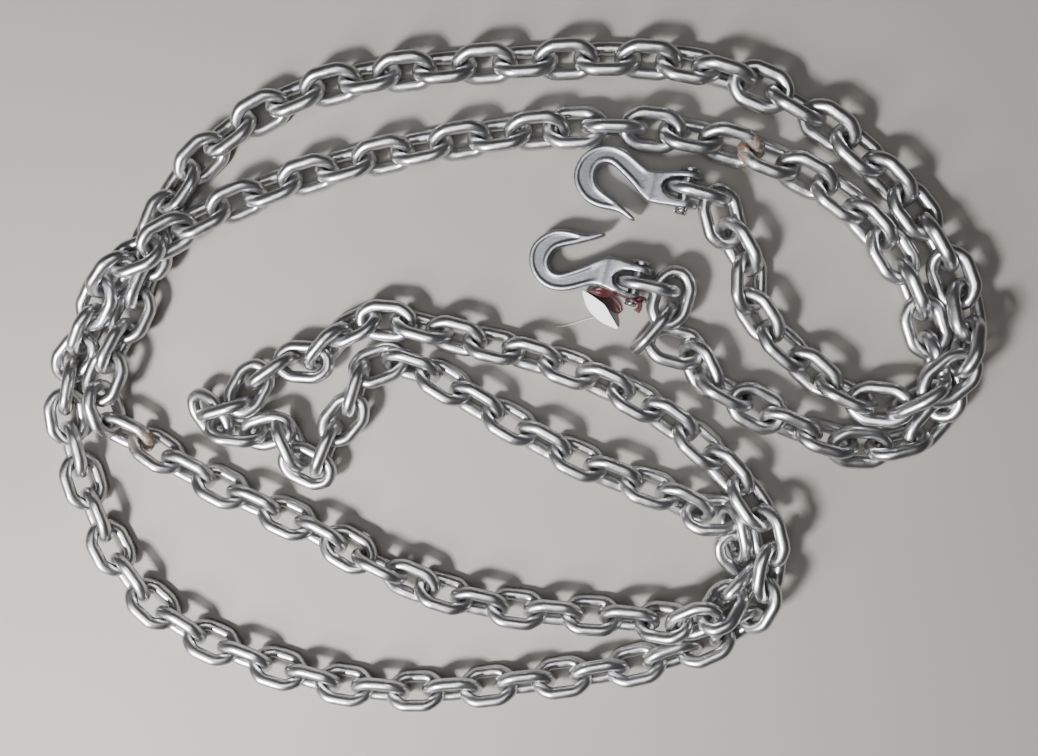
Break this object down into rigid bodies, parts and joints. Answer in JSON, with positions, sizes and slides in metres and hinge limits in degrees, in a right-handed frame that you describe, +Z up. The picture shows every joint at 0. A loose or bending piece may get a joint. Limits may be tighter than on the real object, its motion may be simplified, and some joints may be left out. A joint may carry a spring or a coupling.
{
  "type": "heap of steel chain",
  "caption": "Length of bright steel chain, doubled and laid down loosely, with a forged clevis grab hook pinned to each end and a small paper tag on a ribbon",
  "frame": {"origin": "on the floor, under the middle of the heap's box", "axes": "+X to the right along the heap's longest side, +Y to the far side of the heap, +Z up from the floor"},
  "size_m": [0.7452, 0.5388, 0.0568],
  "materials": {
    "bright_steel": "bright bare steel, lightly dulled, with a few light rust spots",
    "forged_steel": "drop forged, bright with a grey forged skin in the hollows",
    "pin_steel": "bright zinc plated",
    "white_paper": "blank white card",
    "red_ribbon": "thin dark red woven ribbon",
    "pale_thread": "pale twisted thread"
  },
  "bodies": {
    "chain": {"chain_run_01": "bright_steel", "chain_run_02": "bright_steel", "chain_run_03": "bright_steel", "chain_run_04": "bright_steel", "chain_run_05": "bright_steel", "chain_run_06": "bright_steel", "chain_run_07": "bright_steel", "chain_run_08": "bright_steel", "chain_run_09": "bright_steel", "chain_run_10": "bright_steel", "chain_run_11": "bright_steel", "chain_run_12": "bright_steel", "chain_run_13": "bright_steel", "chain_run_14": "bright_steel", "chain_run_15": "bright_steel", "chain_run_16": "bright_steel", "chain_run_17": "bright_steel", "chain_run_18": "bright_steel", "chain_run_19": "bright_steel", "chain_run_20": "bright_steel", "chain_run_21": "bright_steel", "chain_run_22": "bright_steel", "chain_run_23": "bright_steel", "chain_run_24": "bright_steel", "chain_run_25": "bright_steel", "chain_run_26": "bright_steel", "chain_run_27": "bright_steel", "chain_run_28": "bright_steel", "chain_run_29": "bright_steel", "chain_run_30": "bright_steel", "chain_run_31": "bright_steel", "chain_run_32": "bright_steel", "chain_run_33": "bright_steel", "chain_run_34": "bright_steel", "chain_run_35": "bright_steel", "chain_run_36": "bright_steel", "chain_run_37": "bright_steel", "chain_run_38": "bright_steel", "chain_run_39": "bright_steel", "chain_run_40": "bright_steel", "chain_run_41": "bright_steel", "chain_run_42": "bright_steel", "chain_run_43": "bright_steel", "chain_run_44": "bright_steel", "chain_run_45": "bright_steel", "chain_run_46": "bright_steel", "chain_run_47": "bright_steel", "chain_run_48": "bright_steel", "chain_run_49": "bright_steel", "chain_run_50": "bright_steel", "chain_run_51": "bright_steel", "clevis_pin_a": "pin_steel", "clevis_pin_b": "pin_steel", "split_pin_a": "pin_steel", "split_pin_b": "pin_steel"},
    "hook_a": {"grab_hook_a": "forged_steel"},
    "hook_b": {"grab_hook_b": "forged_steel", "red_ribbon": "red_ribbon", "paper_tag": "white_paper", "tag_thread": "pale_thread"}
  },
  "joints": [
    {"name": "hook_a_swing", "type": "hinge", "parent": "chain", "child": "hook_a", "pos_m": [0.14921, 0.15741, 0.01799], "axis": [0.2113, 0.9774, 0], "range_deg": [0, 90]},
    {"name": "hook_b_swing", "type": "hinge", "parent": "chain", "child": "hook_b", "pos_m": [0.11291, 0.08682, 0.01799], "axis": [0.2504, 0.9681, 0], "range_deg": [0, 65]}
  ]
}
